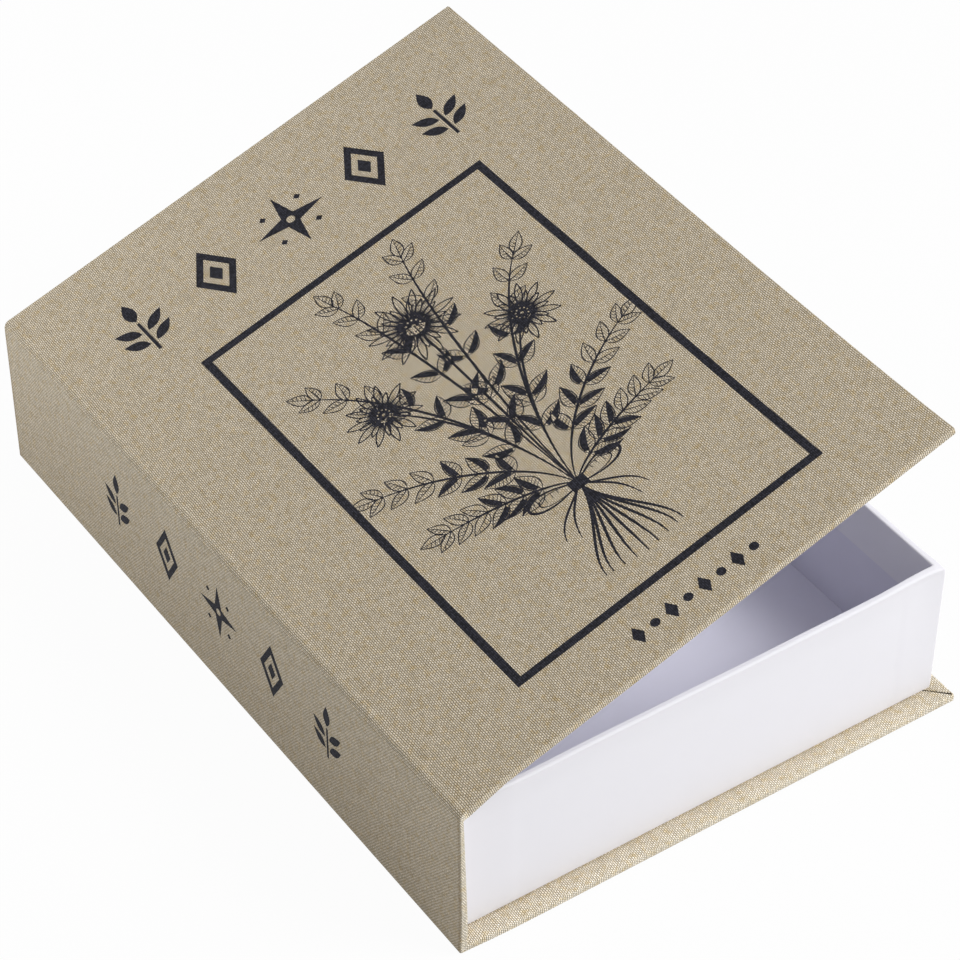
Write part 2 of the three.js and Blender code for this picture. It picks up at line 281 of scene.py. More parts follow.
def book_cloth(name, scene):
    """Cotton and linen book cloth, plain woven and unglazed: light and tan threads over dark gaps, matt,
    with a faint fuzz that catches light at a low angle. A piece without its own flat coordinates gets
    the weave from its place on the box."""
    colours = scene.book_box_colours
    material, add = new_material(name)
    flat = None
    if name == "book_cloth_inner":
        place = add("SeparateXYZ", [add("TexCoord").outputs["Object"]])
        around = add("Math", [place.outputs["X"], place.outputs["Z"]], operation="ADD")
        flat = add("CombineXYZ", [around, place.outputs["Y"]])
    woven = weave(add, scene.book_box_sizes, flat)
    shade = cloth_colour(add, woven, colours.thread_light, colours.thread_tan, colours.thread_gap)
    surfaced(add, shade, woven[2], 0.12 * MM, 0.7,
             {"Roughness": 0.88, "Specular IOR Level": 0.25, "Sheen Weight": 0.12, "Sheen Roughness": 0.5})
    return material


def print_ink(name, scene):
    """Screen-printed ink on cloth: blue-black and matt. It lies on the threads, so the weave still shows, and a
    little cloth comes through in the gaps; the ink is painted lighter on the threads' crowns and darker between
    them, as painted highlight and shade."""
    material, add = new_material(name)
    _, _, height, crossing, _ = weave(add, scene.book_box_sizes)
    # painted highlight and painted shade: the ink is lighter where the thread stands high and darker where it dips
    raised = add("MapRange", {"Value": height, "From Min": 0.1, "From Max": 0.9, "To Min": 0.3, "To Max": 1.45})
    uneven = add("MapRange", {"Value": crossing, "To Min": 0.4, "To Max": 1.6})
    both = add("Math", [raised, uneven], operation="MULTIPLY")
    shade = add("Mix", {0: 1.0, 6: scene.book_box_colours.ink, 7: both}, **TIMES).outputs[2]
    surfaced(add, shade, height, 0.10 * MM, 0.6, {"Roughness": 0.75, "Specular IOR Level": 0.12})
    return material


def paper(name, scene):
    """Paper: an even pulp with a faint cloudiness and a fine tooth, coated and soft-sheened or left matt."""
    material, add = new_material(name)
    coated, colours = name == "wrap_paper_coated", scene.book_box_colours
    shade, roughness, mottle = (colours.wrap, 0.6, 0.008) if coated else (colours.lining, 0.8, 0.012)
    place = add("TexCoord").outputs["Object"]
    cloud = add("TexNoise", {"Vector": place, "Scale": 1 / CLOUD, "Detail": 3})
    tone = add("MapRange", {"Value": cloud, "To Min": 1 - mottle, "To Max": 1 + mottle})
    toned = add("Mix", {0: 1.0, 6: shade, 7: tone}, **TIMES).outputs[2]
    if coated:
        # painted shade: the rim's outer edge is painted a little greyer
        worn = add("Attribute", attribute_name="worn").outputs["Fac"]
        greyed = add("Math", [worn, -0.08, 1.0], operation="MULTIPLY_ADD")
        toned = add("Mix", {0: 1.0, 6: toned, 7: greyed}, **TIMES).outputs[2]
    tooth = add("TexNoise", {"Vector": place, "Scale": 1 / TOOTH, "Detail": 2})
    surfaced(add, toned, tooth, 0.01 * MM, 0.35, {"Roughness": roughness, "Specular IOR Level": 0.25})
    return material


def greyboard(name, scene):
    """Recycled greyboard: grey pulp with light and dark flecks about a millimetre long, matt."""
    material, add = new_material(name)
    place = add("TexCoord").outputs["Object"]
    pulp = add("TexNoise", {"Vector": place, "Scale": 1 / PULP, "Detail": 4})
    flecks = add("TexVoronoi", {"Vector": place, "Scale": 1 / FLECK, "Randomness": 1})
    tone = add("MapRange", {"Value": pulp, "To Min": 0.8, "To Max": 1.2})
    dots = add("MapRange", {"Value": flecks, "From Max": 0.35, "To Min": 0.72})
    both = add("Math", [tone, dots], operation="MULTIPLY")
    shade = add("Mix", {0: 1.0, 6: scene.book_box_colours.board, 7: both}, **TIMES).outputs[2]
    surfaced(add, shade, pulp, 0.05 * MM, 0.5, {"Roughness": 0.95, "Specular IOR Level": 0.2})
    return material


def kraft_tape(name, scene):
    """Gummed kraft tape: brown paper with fibres drawn out along its length, and a low sheen from the gum."""
    material, add = new_material(name)
    fine = (1 / FIBRE_WIDE, 1 / FIBRE_WIDE, 1 / FIBRE_LONG)
    drawn = add("Mapping", {"Vector": add("TexCoord").outputs["Object"], "Scale": fine})
    fibre = add("TexNoise", {"Vector": drawn, "Scale": 1, "Detail": 3})
    tone = add("MapRange", {"Value": fibre, "To Min": 0.82, "To Max": 1.15})
    shade = add("Mix", {0: 1.0, 6: scene.book_box_colours.tape, 7: tone}, **TIMES).outputs[2]
    surfaced(add, shade, fibre, 0.02 * MM, 0.5, {"Roughness": 0.7})
    return material


FINISHES = {
    "cloth": ("book_cloth_plain_weave", book_cloth),
    "inner cloth": ("book_cloth_inner", book_cloth),
    "ink": ("screen_ink_on_cloth", print_ink),
    "wrap": ("wrap_paper_coated", paper),
    "lining": ("lining_paper_uncoated", paper),
    "board": ("greyboard_recycled", greyboard),
    "tape": ("kraft_tape_gummed", kraft_tape),
}


def finish_of(key):
    """The material for one of the box's finishes, made the first time that it is asked for."""
    name, make = FINISHES[key]
    return bpy.data.materials.get(name) or make(name, bpy.context.scene)


# Mesh helpers


def new_piece(name, shape, material, smooth=True):
    """An object at the origin from a bmesh or a mesh, with one material."""
    mesh = shape
    if isinstance(shape, bmesh.types.BMesh):
        mesh = bpy.data.meshes.new(name)
        shape.to_mesh(mesh)
        shape.free()
    mesh.materials.clear()
    mesh.materials.append(material)
    for face in mesh.polygons:
        face.use_smooth = smooth
    piece = bpy.data.objects.new(name, mesh)
    bpy.context.scene.collection.objects.link(piece)
    return piece


def thicken(piece, thick, offset=-1.0):
    """Gives a sheet its thickness, behind its outer face unless offset says otherwise, and keeps its flats flat."""
    wall = piece.modifiers.new("thickness", "SOLIDIFY")
    wall.thickness = thick
    wall.offset = offset
    wall.use_even_offset = True
    shading = piece.modifiers.new("flat shading", "WEIGHTED_NORMAL")
    shading.weight = 100


def tie(piece, body, slot, *nodes):
    """Lets a finished piece ride on a body in the place of CAD nodes, which it hides; the slot, which names their
    finish, is not used.
    """
    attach(piece, body)
    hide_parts(*nodes)


def near(distance, reach):
    """1 at a place, and evenly less up to a reach from it, where it is 0."""
    return max(0, 1 - distance / reach)


def smooth_step(value):
    """0 up to 0 and 1 from 1 on, with a soft rise between."""
    value = min(max(value, 0.0), 1.0)
    return value * value * (3 - 2 * value)


def beyond(value, limit):
    """How far a value lies past a limit; a rounding error counts as nothing."""
    return value - limit if value > limit + 1e-6 else 0.0


def over_edge(end, thick):
    """How much of the cloth past an edge lies on the edge, and how much is folded in behind it."""
    return min(end, thick), max(end - thick, 0)


def fold_lines(at, radius):
    """Places of the grid lines that a rounded fold at one place needs."""
    return [at + k * radius for k in FOLD]


def even_lines(start, end, step):
    """Places between two lines, about one step apart, without the ends."""
    count = max(1, round(abs(end - start) / step))
    return [start + (end - start) * i / count for i in range(1, count)]


def spanned(start, end, step):
    """The same with the ends."""
    return [start, *even_lines(start, end, step), end]


def edge_lines(sizes, edge, behind):
    """Grid lines for the cloth's two folds over a board's edge, and for what lies behind it."""
    inner = edge + sizes.cover_thick
    folds = fold_lines(edge, sizes.cover_round) + fold_lines(inner, sizes.cover_round)
    return folds + [inner + back for back in behind]


def both_ways(sides, flat_end, step):
    """Grid lines along a sheet: the ones by its ends, and even ones between."""
    return sides + [-b for b in sides] + even_lines(-flat_end, flat_end, step)


def flat_grid(across, along, keep=None):
    """A grid whose lines lie at the given places, without the faces that aren't part of the cut sheet."""
    across, along = sorted(across), sorted(along)
    bm = bmesh.new()
    bmesh.ops.create_grid(bm, x_segments=len(across) - 1, y_segments=len(along) - 1, size=0.5)
    for vert in bm.verts:
        vert.co.x = across[round((vert.co.x + 0.5) * (len(across) - 1))]
        vert.co.y = along[round((vert.co.y + 0.5) * (len(along) - 1))]
        vert.co.z = 0
    if keep:
        drop = [face for face in bm.faces if not keep(*face.calc_center_median().xy)]
        bmesh.ops.delete(bm, geom=drop, context="FACES")
    return bm


def write_flat(bm, flat_at):
    """Keeps each corner's place on the flat cloth, which the weave follows."""
    layer = bm.loops.layers.uv.new("flat")
    for face in bm.faces:
        middle = face.calc_center_median()
        for loop in face.loops:
            loop[layer].uv = flat_at(loop.vert.co.x, loop.vert.co.y, middle.x)


def write_turned(bm, past, thick, paleness=1.0, crease=lambda a: 0, painted_gradient=lambda a: 0):
    """Marks the painted light on each point's cloth: 0 on a face, 1 on a folded edge, painted paler as a painted
    highlight, less on the flap behind it, and below 0 in the crease beside the edge, painted darker as painted
    shade. A face can have a painted light gradient across its width."""
    layer = bm.verts.layers.float.new("turned")
    soft = 0.8 * MM
    for vert in bm.verts:
        a, out = vert.co.x, past(vert.co.x, vert.co.y)
        flap = 0.6 * smooth_step((out - thick) / soft + 0.5) + 0.4 * smooth_step((out - thick) / (4 * MM))
        pale = smooth_step(out / soft + 0.5) * (1 - 0.44 * flap)
        dark = near(abs(out + 0.9 * MM), 0.7 * MM) * crease(a)
        vert[layer] = paleness * pale - 0.6 * dark + painted_gradient(a)


def fold(bm, place):
    """Moves each point from the flat cloth to its place on the box, and closes the corners."""
    for vert in bm.verts:
        vert.co = place(vert.co.x, vert.co.y)
    bmesh.ops.remove_doubles(bm, verts=bm.verts, dist=2e-6)


def rounded(at, low, high, radius):
    """A point of a sharp-edged board, moved to where the same board with rounded edges has it."""
    core = Vector([min(max(at[i], low[i] + radius), high[i] - radius) for i in range(3)])
    away = at - core
    return core + away.normalized() * radius if away.length > 1e-9 else at


def drawn_in(sizes, back, distance):
    """How far a turn-in, at a depth behind the edge, is cut back at a distance from the corner. Two of them
    meet along a mitre, with a slit that is widest by the corner."""
    slit = min(back, sizes.slit * (1 + near(back, 5 * MM)))
    return (back + slit) * near(distance, GATHER)


def in_cut(a, b, start, width, half, thick):
    """Whether a point belongs to a cut sheet: its corners are cut off, and at its start only the tucks go on."""
    return 0 < abs(b) - half < thick if a < start else not (abs(b) > half and a > width)


def by_end(y):
    """1 past the case's ends, 0 a few millimetres further in."""
    return smooth_step((abs(y) - BASE_HIGH.y) / (2.5 * MM) + 1.6)


def beside_tray(at):
    """How far a point of the base lies outside the tray's walls."""
    return max(abs(at.y) - TRAY_HIGH.y, at.x - TRAY_HIGH.x)


def pressed(sizes, point):
    """A point of the spine or of the base beside it, moved where the spine's ends are pressed thinner towards
    the top, and where the corner by the tail is worn in."""
    thinner = sizes.spine_press * by_end(point.y) * min(max(point.z / SPINE_TOP, 0), 1)
    depth = point.x - SKIN_X
    corner = near(depth, 25 * MM) * near(point.z, 20 * MM) * (point.y < 0)
    worn = sizes.corner_wear * corner * corner * by_end(point.y)
    return point + Vector((-min(depth, sizes.cover_thick) * thinner, worn, 0))


# The lid's own frame


def lid_place(sizes, distance, y, rise):
    """A point of the lid, by its distance from the hinge axis, its place along the spine and its rise.
    The corner by the tail and the fore-edge curls up a little, and the board isn't cut quite square."""
    reach = max(0.0, distance - 0.8 * MM) / 0.178
    by_tail = near(y - BASE_LOW.y, 0.110)
    by_head = max(0.0, (y + 0.040) / 0.168)
    rise += sizes.lid_curl * reach * reach * by_tail * by_tail
    distance += reach * (sizes.lid_skew * by_head + 0.5 * MM * by_tail ** 6)
    x = HINGE.x + distance * math.cos(TILT) - rise * math.sin(TILT)
    z = HINGE.z + distance * math.sin(TILT) + rise * math.cos(TILT)
    ease = sizes.lid_ease * (1 - smooth_step((distance - sizes.joint_gap) / (14 * MM)))
    return Vector((x, y - ease * near(y - LID_LOW.y, 20 * MM), z))


def lid_ends():
    """The lid cloth's tail and head ends, a little proud of the board's."""
    return LID_LOW.y - 0.25 * MM, LID_HIGH.y + 0.1 * MM


def joint_bend(sizes):
    """The cloth's bend over the joint: its angle, the height where its two straight parts would meet, and
    the distance from there to where the bend starts."""
    turn = math.pi / 2 - TILT
    corner_z = HINGE.z + (sizes.lid_top + (SKIN_X - HINGE.x) * math.sin(TILT)) / math.cos(TILT)
    return turn, corner_z, sizes.joint_round * math.tan(turn / 2)


def joint_path(sizes, run, inset):
    """A point of the cloth from the spine's top over the bend to the lid, in X and Z."""
    bend = sizes.joint_round
    turn, corner_z, tangent = joint_bend(sizes)
    bend_z = corner_z - tangent
    upright = bend_z - SPINE_TOP
    groove = sizes.groove * math.sin(math.pi * min(max((run - sizes.groove_rise) / sizes.groove_wide, 0), 1)) ** 2
    inset = inset + groove * near(inset, 1.2 * MM)
    if run <= upright:
        return Vector((SKIN_X + inset, 0, SPINE_TOP + run))
    angle = math.pi - min((run - upright) / bend, turn)
    radius = bend - inset
    point = Vector((SKIN_X + bend + radius * math.cos(angle), 0, bend_z + radius * math.sin(angle)))
    past = max(0.0, run - upright - bend * turn)
    return point + past * Vector((math.cos(TILT), 0, math.sin(TILT)))


def joint_run(sizes):
    """Length of the cloth from the spine's top to the lid's board."""
    turn, corner_z, tangent = joint_bend(sizes)
    corner = (SKIN_X - HINGE.x) * math.cos(TILT) + (corner_z - HINGE.z) * math.sin(TILT)
    return corner_z - tangent - SPINE_TOP + sizes.joint_round * turn + sizes.joint_gap - corner - tangent


def flat_on_lid(sizes, distance):
    """Where a point of the lid lies on the flat cloth, which runs from the base's corner."""
    return -SPINE_TOP - joint_run(sizes) - (distance - sizes.joint_gap)


# The cloth. On each flat sheet a runs across the spine and b along it.


class BOOKBOX_OT_case_cloth(Operator):
    """One sheet under the base and up the spine, turned in over three edges"""

    bl_idname = "book_box.case_cloth"
    bl_label = "Case cloth"

    def execute(self, context):
        sizes = context.scene.book_box_sizes
        thick, turn, radius = sizes.cover_thick, sizes.turn_in, sizes.cover_round
        width, half, top = BASE_HIGH.x - SKIN_X, BASE_HIGH.y + sizes.swell, SPINE_TOP

        def gathered(a, b, on_spine):
            """The same point with the cloth drawn in at the corners."""
            depth, back = over_edge(beyond(abs(b), half), thick)
            fore = beyond(a, width) - thick
            if depth > 0 and not on_spine:
                a = a + depth * near(a, GATHER) - drawn_in(sizes, back, width - a)
            elif depth > 0 and a > -top + GATHER / 2:
                a = a - depth * near(-a, GATHER)
            elif depth == 0 and fore > 0:
                b = b - math.copysign(drawn_in(sizes, fore, half - abs(b)), b)
            return a, b

        def lain(a, b, on_spine):
            """The point's place on the box, as a part of the spine or of the base."""
            side = 1 if b > 0 else -1
            a2, b2 = gathered(a, b, on_spine)
            depth, back = over_edge(beyond(abs(b), half), thick)
            y = side * (min(abs(b2), half) - back)
            if a < -top - 1e-6:
                return Vector((SKIN_X + max(depth, TUCK_DEEP), y - side * (-top - a), top - 0.05 * MM))
            if on_spine:
                at = Vector((SKIN_X + depth, y, -a2))
                return rounded(at, (SKIN_X, -half, 0), (SKIN_X + thick, half, 1), radius)
            lap = 0
            if a > width:
                depth, back = over_edge(a - width, thick)
                a2 = width - back
                lap = near(half - abs(y) - back, 2.5 * MM) if back > 0 else 0
            at = Vector((SKIN_X + a2, y, depth))
            laid = rounded(at, (SKIN_X, -half, 0), (BASE_HIGH.x, half, thick), radius)
            laid.z += 0.25 * MM * lap
            # the tray's foot presses the turned-in cloth down beside it
            out = beside_tray(laid)
            if laid.z > thick - 0.1 * MM:
                laid.z -= sizes.foot_press * (near(out, 4 * MM) if out > 0 else near(-out, 1.2 * MM)) ** 2
            return laid

        def place(a, b):
            if abs(a) > 1e-7:
                return pressed(sizes, lain(a, b, a < 0))
            both = (lain(a, b, True) + lain(a, b, False)) / 2
            if abs(b) > half + radius:
                both.y -= math.copysign(0.12 * MM, b)
            return pressed(sizes, both)

        corner = fold_lines(0, radius)
        behind = [k * MM for k in (1.5, 2.3, 3.1, 3.7, 4.1, 4.4, 4.8, 5.3, 5.8, 6.2, 6.6, 7.0, 7.6, 8.4)] + [turn]
        across = [-top - TUCK, -top - TUCK / 2, -top] + even_lines(-top, corner[0], 6 * MM) + corner
        across += even_lines(corner[-1], width - 1.6 * radius, 9 * MM) + edge_lines(sizes, width, behind)
        sides = edge_lines(sizes, half, behind) + [half - FLAT_END]
        along = both_ways(sides, half - FLAT_END, 9 * MM)
        bm = flat_grid(across, along, lambda a, b: in_cut(a, b, -top, width, half, thick))
        write_flat(bm, lambda a, b, middle: gathered(a, b, middle < 0))
        # painted light: the folded edges are painted paler, the crease on the spine's side darker as painted shade,
        # and the spine darker at its foot and lighter towards its top as a painted light gradient
        write_turned(bm, lambda a, b: max(abs(b) - half, a - width), thick, crease=lambda a: float(a < 0),
                     painted_gradient=lambda a: 0.23 * min(max(-a / top, 0), 1) ** 2 - 0.04 * (a < 0))
        bmesh.ops.reverse_faces(bm, faces=bm.faces)
        fold(bm, place)
        # painted shade in the corner at the tray's foot: the cloth beside the wall is painted darker
        layer = bm.verts.layers.float["turned"]
        for vert in bm.verts:
            out = beside_tray(vert.co)
            if vert.co.z > thick - 0.3 * MM and vert.co.x > BASE_LOW.x + 3 * MM and out > -1.2 * MM:
                vert[layer] -= 0.25 * near(abs(out), 3.2 * MM) + 0.45 * near(abs(out - 0.3 * MM), 0.6 * MM)
        skin = new_piece("case_cloth", bm, finish_of("cloth"))
        thicken(skin, sizes.cloth_thick)
        tie(skin, "case", "book_cloth", "base_cloth", "spine_cloth")
        return {"FINISHED"}


class BOOKBOX_OT_hinge_cloth(Operator):
    """The same sheet where it bends from the spine over to the lid, folded double at both ends"""

    bl_idname = "book_box.hinge_cloth"
    bl_label = "Hinge cloth"

    def execute(self, context):
        sizes = context.scene.book_box_sizes
        run, half, turn = joint_run(sizes), BASE_HIGH.y + sizes.swell, sizes.turn_in
        thick, radius = sizes.cover_thick, sizes.cover_round
        tail, head = (lid_place(sizes, sizes.joint_gap, y, 0).y for y in lid_ends())
        double = (2 * sizes.cloth_thick + 0.05 * MM) / thick

        def place(a, b):
            side = 1 if b > 0 else -1
            depth, back = over_edge(beyond(abs(b), half), thick)
            at = Vector((0, side * (min(abs(b), half) - back), depth))
            at = rounded(at, (-1, -half, 0), (1, half, thick), radius)
            # the fold is as deep as the boards beside it at the end, and flat further in
            pinch = 0.12 * math.sin(math.pi * a / run) ** 2
            plump = (1 - pinch) * (1 - smooth_step(back / (4 * MM)))
            at.z *= double + (1 - double) * plump
            at.z *= 1 - sizes.spine_press * by_end(at.y) * (1 - smooth_step((a / run - 0.3) / 0.45))
            shift = head - half if side > 0 else tail + half
            point = joint_path(sizes, a, at.z)
            point.y = at.y + shift * near(half - abs(at.y), GATHER) * smooth_step(a / run)
            return point

        sides = edge_lines(sizes, half, [k * MM for k in (2, 3, 4, 8)] + [turn]) + [half - FLAT_END]
        bm = flat_grid(spanned(0, run, 0.18 * MM), both_ways(sides, half - FLAT_END, 9 * MM))
        write_flat(bm, lambda a, b, _: (-SPINE_TOP - a, b))
        # painted light: the folded ends are painted paler, the crease beside them darker as painted shade, and the
        # spine's painted light gradient carries on over the bend, less towards the lid
        write_turned(bm, lambda a, b: abs(b) - half, thick, crease=lambda a: 1 - a / run,
                     painted_gradient=lambda a: 0.19 - 0.13 * a / run)
        fold(bm, place)
        skin = new_piece("hinge_skin", bm, finish_of("cloth"))
        thicken(skin, sizes.cloth_thick)
        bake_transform(skin, "case", "lid", start=(-0.0900, 0, 0.0528), end=(-0.0888, 0, 0.0570))
        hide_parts("hinge_cloth")
        return {"FINISHED"}


class BOOKBOX_OT_lid_cloth(Operator):
    """The same sheet over the lid's board, turned in over three edges"""

    bl_idname = "book_box.lid_cloth"
    bl_label = "Lid cloth"

    def execute(self, context):
        sizes = context.scene.book_box_sizes
        thick, turn, radius = sizes.cover_thick, sizes.turn_in, sizes.cover_round
        start, width = sizes.joint_gap, sizes.lid_reach
        low, high = lid_ends()
        middle, half = (low + high) / 2, (high - low) / 2

        def gathered(a, b):
            """The same point with the cloth drawn in at the corners."""
            end, fore = beyond(abs(b), half) - thick, beyond(a, width) - thick
            if end > 0 and a > start:
                a = a - drawn_in(sizes, end, width - a)
            elif fore > 0:
                b = b - math.copysign(drawn_in(sizes, fore, half - abs(b)), b)
            return a, b

        def flat_at(a, b, _):
            a, b = gathered(a, b)
            return flat_on_lid(sizes, a), middle + b

        def place(a, b):
            side = 1 if b > 0 else -1
            a2, b2 = gathered(a, b)
            depth, back = over_edge(beyond(abs(b), half), thick)
            y = side * (min(abs(b2), half) - back)
            if a < start - 1e-6:
                tucked = middle + y - side * (start - a)
                return lid_place(sizes, start + 0.05 * MM, tucked, sizes.lid_top - max(depth, TUCK_DEEP))
            if a > width:
                depth, back = over_edge(a - width, thick)
                a2 = width - back
            at = rounded(Vector((a2, y, depth)), (-1, -half, 0), (width, half, thick), radius)
            return lid_place(sizes, at.x, middle + at.y, sizes.lid_top - at.z)

        behind, flat_end = [5 * MM, turn], 1.6 * radius
        across = [start - TUCK, start - TUCK / 2, start] + even_lines(start, width - flat_end, 7 * MM)
        across += edge_lines(sizes, width, behind)
        along = both_ways(edge_lines(sizes, half, behind), half - flat_end, 7 * MM)
        bm = flat_grid(across, along, lambda a, b: in_cut(a, b, start, width, half, thick))
        write_flat(bm, flat_at)
        # painted highlight: the lid's folded edges are painted a little paler
        write_turned(bm, lambda a, b: max(abs(b) - half, a - width), thick, 0.25)
        fold(bm, place)
        skin = new_piece("lid_skin", bm, finish_of("cloth"))
        thicken(skin, sizes.cloth_thick)
        tie(skin, "lid", "book_cloth", "lid_cloth")
        return {"FINISHED"}


# The lid's board and the lining paper


def lid_sheet(sizes, name, across, inset, rise, key):
    """A flat piece of the lid with the lid's curl: its limits across, its distance from the lid's ends and
    the rise of its outer face."""
    bm = flat_grid(spanned(*across, 8 * MM), spanned(LID_LOW.y + inset, LID_HIGH.y - inset, 8 * MM))
    fold(bm, lambda a, b: lid_place(sizes, a, b, rise))
    return new_piece(name, bm, finish_of(key), smooth=False)


class BOOKBOX_OT_lid_board(Operator):
    """The lid's greyboard and the white paper pasted inside it"""

    bl_idname = "book_box.lid_board"
    bl_label = "Lid board and lining"

    def execute(self, context):
        sizes = context.scene.book_box_sizes
        inset = sizes.cloth_thick + GLUE
        across = (sizes.joint_gap, sizes.lid_reach - inset)
        board = lid_sheet(sizes, "lid_board_warped", across, inset, sizes.lid_top - inset, "board")
        thicken(board, BOARD)
        tie(board, "lid", "greyboard", "lid_board")
        across = (6 * MM, sizes.lid_reach - MARGIN)
        lining = lid_sheet(sizes, "lid_paper", across, MARGIN, 0, "lining")
        lining.data.flip_normals()
        thicken(lining, sizes.paper_thick)
        tie(lining, "lid", "lining_paper", "lid_lining")
        return {"FINISHED"}


class BOOKBOX_OT_hinge_lining(Operator):
    """The lining paper pasted into the joint"""

    bl_idname = "book_box.hinge_lining"
    bl_label = "Hinge lining"

    def execute(self, context):
        sizes = context.scene.book_box_sizes
        inset = 2 * sizes.cloth_thick + 0.3 * MM
        front = BASE_LOW.x + inset
        behind = BASE_LOW.x + sizes.cover_thick + 0.3 * MM
        over = SPINE_TOP + 0.3 * MM
        edge = sizes.joint_gap - 0.4 * MM
        run = joint_run(sizes)
        path = [joint_path(sizes, 2.4 * MM + (run - 3.2 * MM) * i / 10, inset) for i in range(11)]
        points = [Vector((behind, 0, SPINE_TOP)), Vector((behind, 0, over)), Vector((front, 0, over))]
        points += [Vector((front, 0, over + k * (path[0].z - over) / 6)) for k in range(1, 6)] + path
        points += [lid_place(sizes, edge, 1, rise * MM) for rise in (2.0, 1.4, 0.8, 0.1)]
        points += [lid_place(sizes, edge + step * MM, 1, 0.1 * MM) for step in (1.2, 2.7)]
        along = spanned(BASE_LOW.y + MARGIN, BASE_HIGH.y - MARGIN, 12 * MM)
        bm = flat_grid(list(range(len(points))), along)
        fold(bm, lambda a, b: Vector((points[round(a)].x, b, points[round(a)].z)))
        band = new_piece("hinge_paper", bm, finish_of("lining"), smooth=False)
        thicken(band, sizes.paper_thick, 0.0)
        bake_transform(band, "case", "lid", start=(-0.0889, 0, 0.0524), end=(-0.0889, 0, 0.0541))
        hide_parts("hinge_lining")
        return {"FINISHED"}


# The tray


def tray_stations():
    """Places round the tray: tail side, fore side, head side and spine side, each after its first corner. A
    station is a side with a place along it, or a corner with an angle."""
    stations = []
    for which in range(4):
        start = math.pi + which * math.pi / 2
        stations += [("corner", which, start + math.pi / 2 * i / 6) for i in range(7)]
        low, high = TRAY_LOW[which % 2] + TRAY_CORNER, TRAY_HIGH[which % 2] - TRAY_CORNER
        leg, other = TAPE_AFTER - TRAY_CORNER, high - low - TAPE_BEFORE + TRAY_CORNER
        ends = [k * MM for k in (0.4, 1.1, 1.9)]
        ridge = [k * MM for k in (-3.4, -2.6, -1.8, -1, -0.2, 0.8)]
        spots = [leg + k for k in ridge] + [other - k for k in ridge] + ends + [high - low - k for k in ends]
        spots += even_lines(leg + ridge[-1], other - ridge[-1], 6 * MM)
        spots += even_lines(ends[0], leg + ridge[0], 3 * MM)
        spots += even_lines(other - ridge[0], high - low - ends[0], 3 * MM)
        stations += [("side", which, low + s if which < 2 else high - s) for s in sorted(spots)]
    return stations


def tray_ring(stations, inset, height):
    """Points round the tray at one inset from its outer faces and one height."""
    low = Vector((TRAY_LOW.x + inset, TRAY_LOW.y + inset))
    high = Vector((TRAY_HIGH.x - inset, TRAY_HIGH.y - inset))
    radius = max(TRAY_CORNER - inset, 0.25 * MM)
    points = []
    for kind, which, value in stations:
        if kind == "side":
            axis = which % 2
            first, last = TRAY_LOW[axis] + TRAY_CORNER, TRAY_HIGH[axis] - TRAY_CORNER
            share = (value - first) / (last - first)
            value = low[axis] + radius + share * (high[axis] - low[axis] - 2 * radius)
            x, y = [(value, low.y), (high.x, value), (value, high.y), (low.x, value)][which]
        else:
            x = (high.x - radius if which in (1, 2) else low.x + radius) + radius * math.cos(value)
            y = (low.y + radius if which in (0, 1) else high.y - radius) + radius * math.sin(value)
        points.append(Vector((x, y, height)))
    return points


def bowed(sizes, point):
    """A point of the tray; in the tail wall it is moved out and down where the wall bows and its rim dips."""
    if point.y > TRAY_LOW.y + sizes.wall_thick + 0.5 * MM:
        return point
    share = smooth_step((min(point.x - TRAY_LOW.x, TRAY_HIGH.x - point.x) - 3 * MM) / (22 * MM))
    height = (point.z - TRAY_LOW.z) / (TRAY_HIGH.z - TRAY_LOW.z)
    out = sizes.wall_bow * share * max(height, 0) ** 1.3
    down = sizes.wall_dip * share * smooth_step((height - 0.7) / 0.3)
    return point - Vector((0, out, down))


def loft_rings(rings):
    """A grid bent round, with a closed ring of points at each level."""
    round_it = len(rings[0])
    bm = flat_grid(range(round_it + 1), range(len(rings)))
    fold(bm, lambda a, b: rings[round(b)][round(a) % round_it])
    bmesh.ops.recalc_face_normals(bm, faces=bm.faces)
    return bm


def arc(x, z, radius, start, count):
    """Points of a quarter turn round a place, clockwise from an angle."""
    angles = [start - math.pi / 2 * i / count for i in range(count + 1)]
    return [(x + radius * math.cos(angle), z + radius * math.sin(angle)) for angle in angles]


